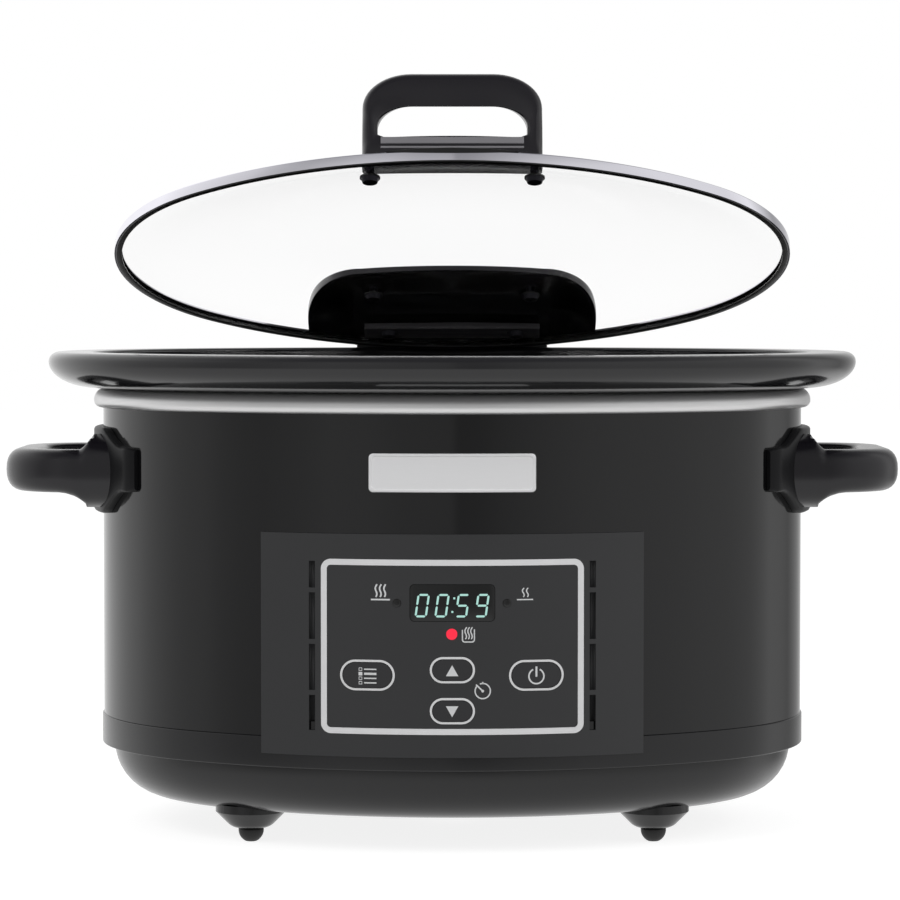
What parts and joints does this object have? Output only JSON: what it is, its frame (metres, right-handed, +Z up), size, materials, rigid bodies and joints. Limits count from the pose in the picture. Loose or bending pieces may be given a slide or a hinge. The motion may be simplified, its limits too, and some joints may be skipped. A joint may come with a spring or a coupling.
{
  "type": "slow cooker",
  "caption": "Oval electric slow cooker with a hinged glass lid, lift-out stoneware crock, side handles and a digital control panel.",
  "frame": {"origin": "centre of the footprint's bounding box, on the surface that the feet stand on", "axes": "+Z up, the control panel faces -Y, the side handles lie along X"},
  "size_m": [0.3966, 0.3023, 0.3318],
  "materials": {
    "housing_paint": "gloss",
    "black_plastic": "gloss",
    "handle_plastic": "gloss",
    "rubber": "matte",
    "brushed_steel": "brushed",
    "well_aluminium": "satin",
    "heater_metal": "satin",
    "insulation": "matte",
    "fastener_steel": "satin",
    "circuit_board": "satin",
    "panel_plastic": "satin",
    "silver_line": "satin",
    "display_lens": "gloss",
    "display_body": "matte",
    "led_lens": "gloss",
    "switch_plastic": "matte",
    "badge_metal": "brushed",
    "glazed_stoneware": "glazed",
    "clear_glass": "polished",
    "chrome": "polished",
    "clamp_grey": "satin"
  },
  "bodies": {
    "base": {"outer_housing": "housing_paint", "lower_band": "black_plastic", "base_pan": "black_plastic", "feet": "black_plastic", "foot_pads": "rubber", "steel_rim": "brushed_steel", "heating_well": "well_aluminium", "heater_band": "heater_metal", "insulation": "insulation", "centre_stud": "fastener_steel", "stud_nut": "fastener_steel", "power_board": "circuit_board", "side_handle_left": "handle_plastic", "side_handle_right": "handle_plastic", "handle_screws": "fastener_steel", "control_panel": "panel_plastic", "panel_frame": "silver_line", "button_rings": "silver_line", "display_window": "display_lens", "display_module": "display_body", "indicator_leds": "led_lens", "key_switches": "switch_plastic", "control_board": "circuit_board", "board_screws": "fastener_steel", "badge_plate": "badge_metal", "cord_gland": "rubber", "hinge_bracket": "black_plastic", "bracket_screws": "fastener_steel"},
    "crock": {"crock": "glazed_stoneware"},
    "hinge_foot": {"hinge_foot": "black_plastic", "hinge_pin": "fastener_steel"},
    "lid": {"lid_glass": "clear_glass", "lid_band": "chrome", "lid_gasket": "rubber", "lid_handle": "handle_plastic", "lid_washers": "rubber", "lid_screws": "fastener_steel", "hinge_arm": "black_plastic", "hinge_cover": "black_plastic", "cover_screws": "fastener_steel", "clamp_plate": "clamp_grey"},
    "menu_button": {"menu_button": "panel_plastic"},
    "power_button": {"power_button": "panel_plastic"},
    "up_button": {"up_button": "panel_plastic"},
    "down_button": {"down_button": "panel_plastic"}
  },
  "joints": [
    {"name": "crock_lift", "type": "slide", "parent": "base", "child": "crock", "axis": [0, 0, 1], "range_m": [0, 0.14]},
    {"name": "lid_lift", "type": "slide", "parent": "base", "child": "hinge_foot", "axis": [0, 0, 1], "range_m": [0, 0.28]},
    {"name": "lid_hinge", "type": "hinge", "parent": "hinge_foot", "child": "lid", "pos_m": [0, 0.14295, 0.194], "axis": [-1, 0, 0], "range_deg": [-20.9, 69.1]},
    {"name": "menu_button_press", "type": "slide", "parent": "base", "child": "menu_button", "axis": [0, 1, 0], "range_m": [0, 0.0008], "stiffness_N_per_m": 400, "springref_m": -0.0005},
    {"name": "power_button_press", "type": "slide", "parent": "base", "child": "power_button", "axis": [0, 1, 0], "range_m": [0, 0.0008], "stiffness_N_per_m": 400, "springref_m": -0.0005},
    {"name": "up_button_press", "type": "slide", "parent": "base", "child": "up_button", "axis": [0, 1, 0], "range_m": [0, 0.0008], "stiffness_N_per_m": 400, "springref_m": -0.0005},
    {"name": "down_button_press", "type": "slide", "parent": "base", "child": "down_button", "axis": [0, 1, 0], "range_m": [0, 0.0008], "stiffness_N_per_m": 400, "springref_m": -0.0005}
  ],
  "couplings": [
    {"joint": "lid_lift", "follows": "crock_lift", "ratio": 2}
  ]
}
